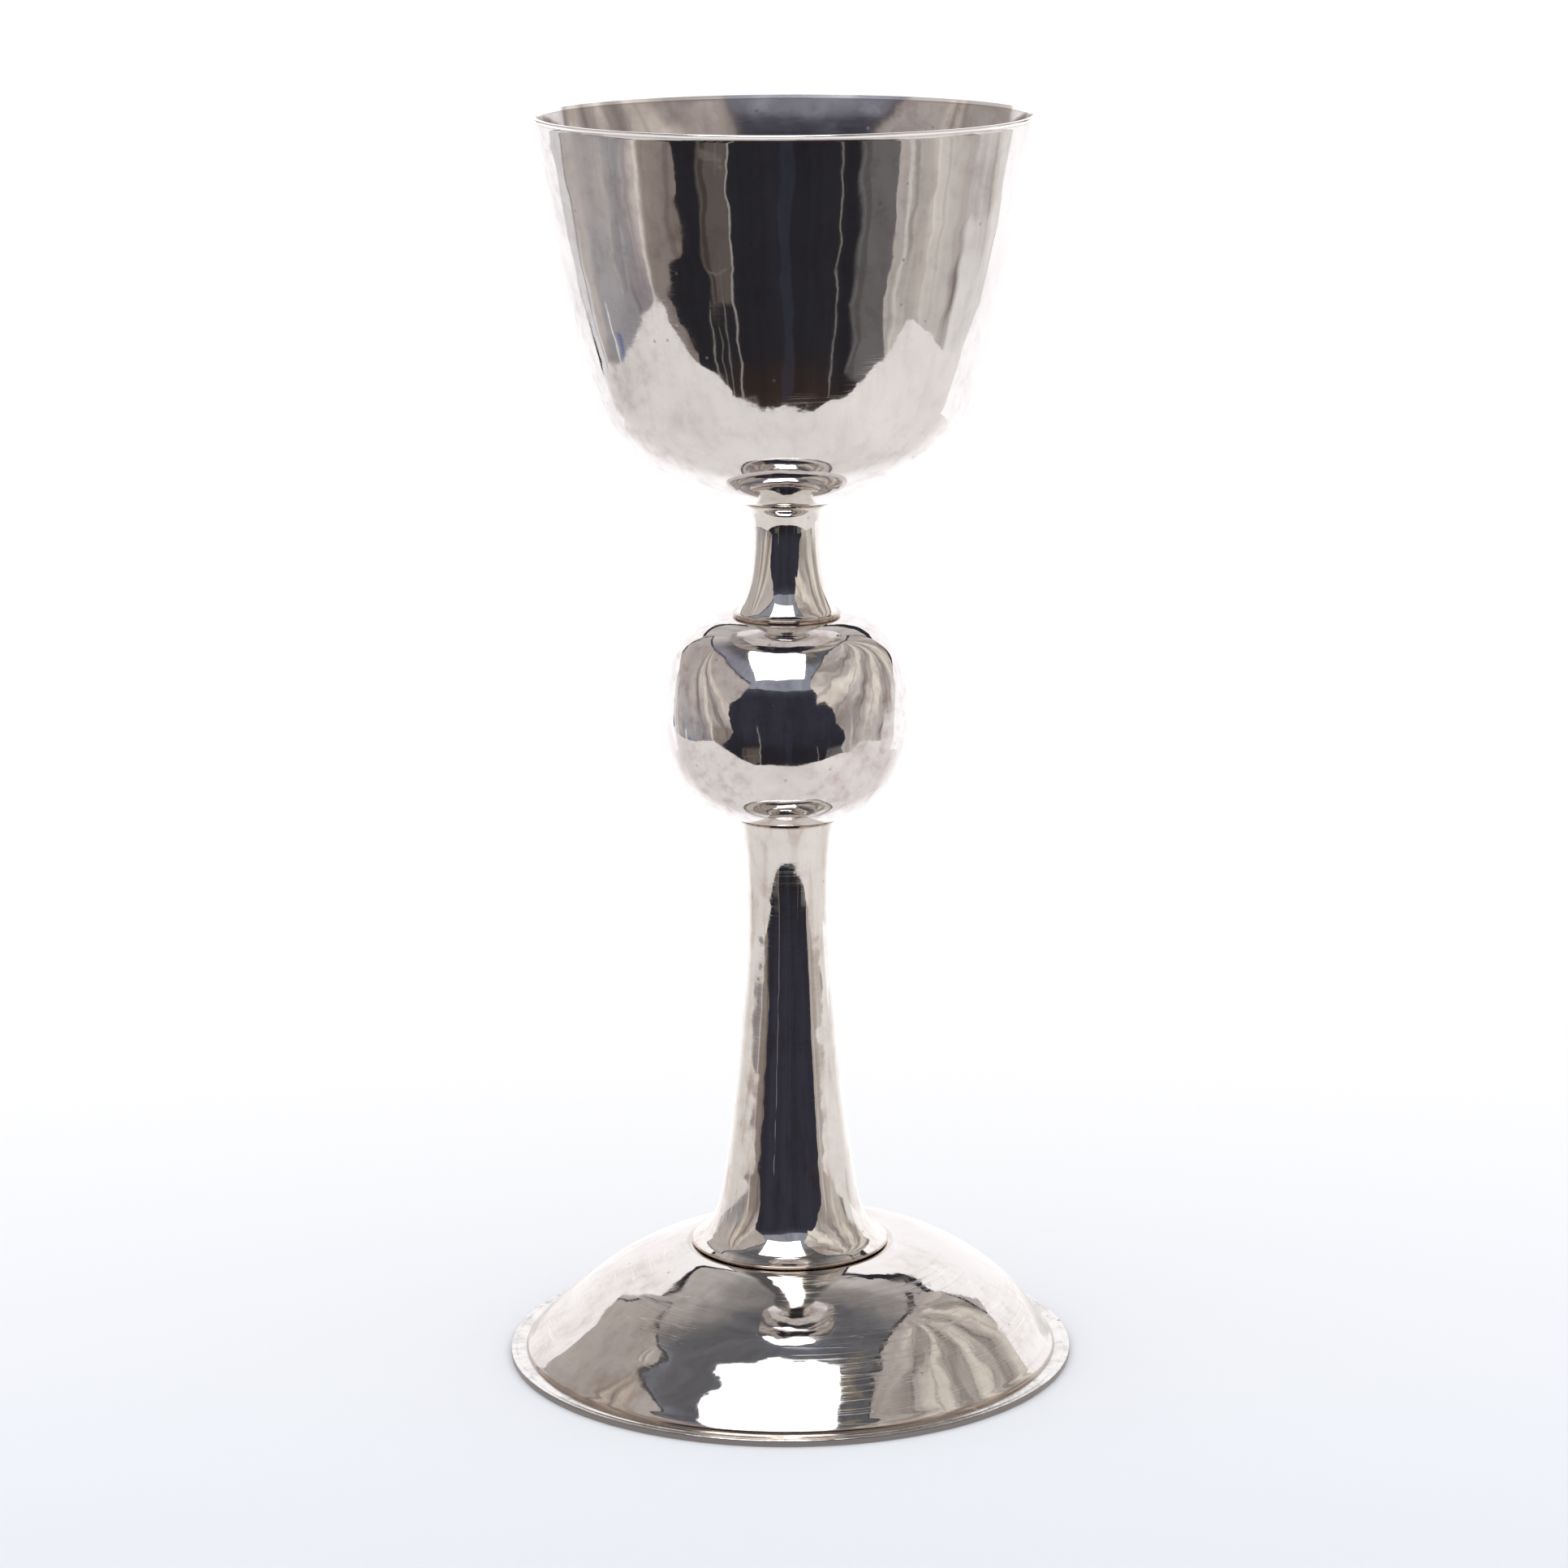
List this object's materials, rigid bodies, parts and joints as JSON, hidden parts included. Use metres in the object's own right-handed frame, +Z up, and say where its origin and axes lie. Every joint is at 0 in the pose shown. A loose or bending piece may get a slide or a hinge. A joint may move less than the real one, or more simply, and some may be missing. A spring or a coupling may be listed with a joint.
{
  "type": "chalice",
  "caption": "Tall footed silver chalice: deep flared bowl on a waisted neck, ball knop, tapering shank and domed round foot with a flat base ring.",
  "frame": {"origin": "centre of the underside of the foot ring, on the surface the chalice stands on", "axes": "+Z up along the chalice's axis from foot to bowl; X and Y are arbitrary, because every piece is round"},
  "size_m": [0.112, 0.112, 0.246],
  "materials": {
    "bowl": "polished hand-hammered silver, faint tarnish, mirror-like with a wavy surface",
    "neck": "polished silver, faint tarnish at the lip and the solder line",
    "knop": "polished hand-hammered silver with faint tarnish mottling",
    "shank": "polished hand-hammered silver, brown tarnish at the flared lip",
    "foot": "polished hand-hammered silver with fine brushed wear and faint tarnish",
    "foot_ring": "worn satin silver with small pits"
  },
  "bodies": {
    "root": {"bowl": "bowl", "neck": "neck", "knop": "knop", "shank": "shank", "foot": "foot", "foot_ring": "foot_ring"}
  },
  "joints": []
}
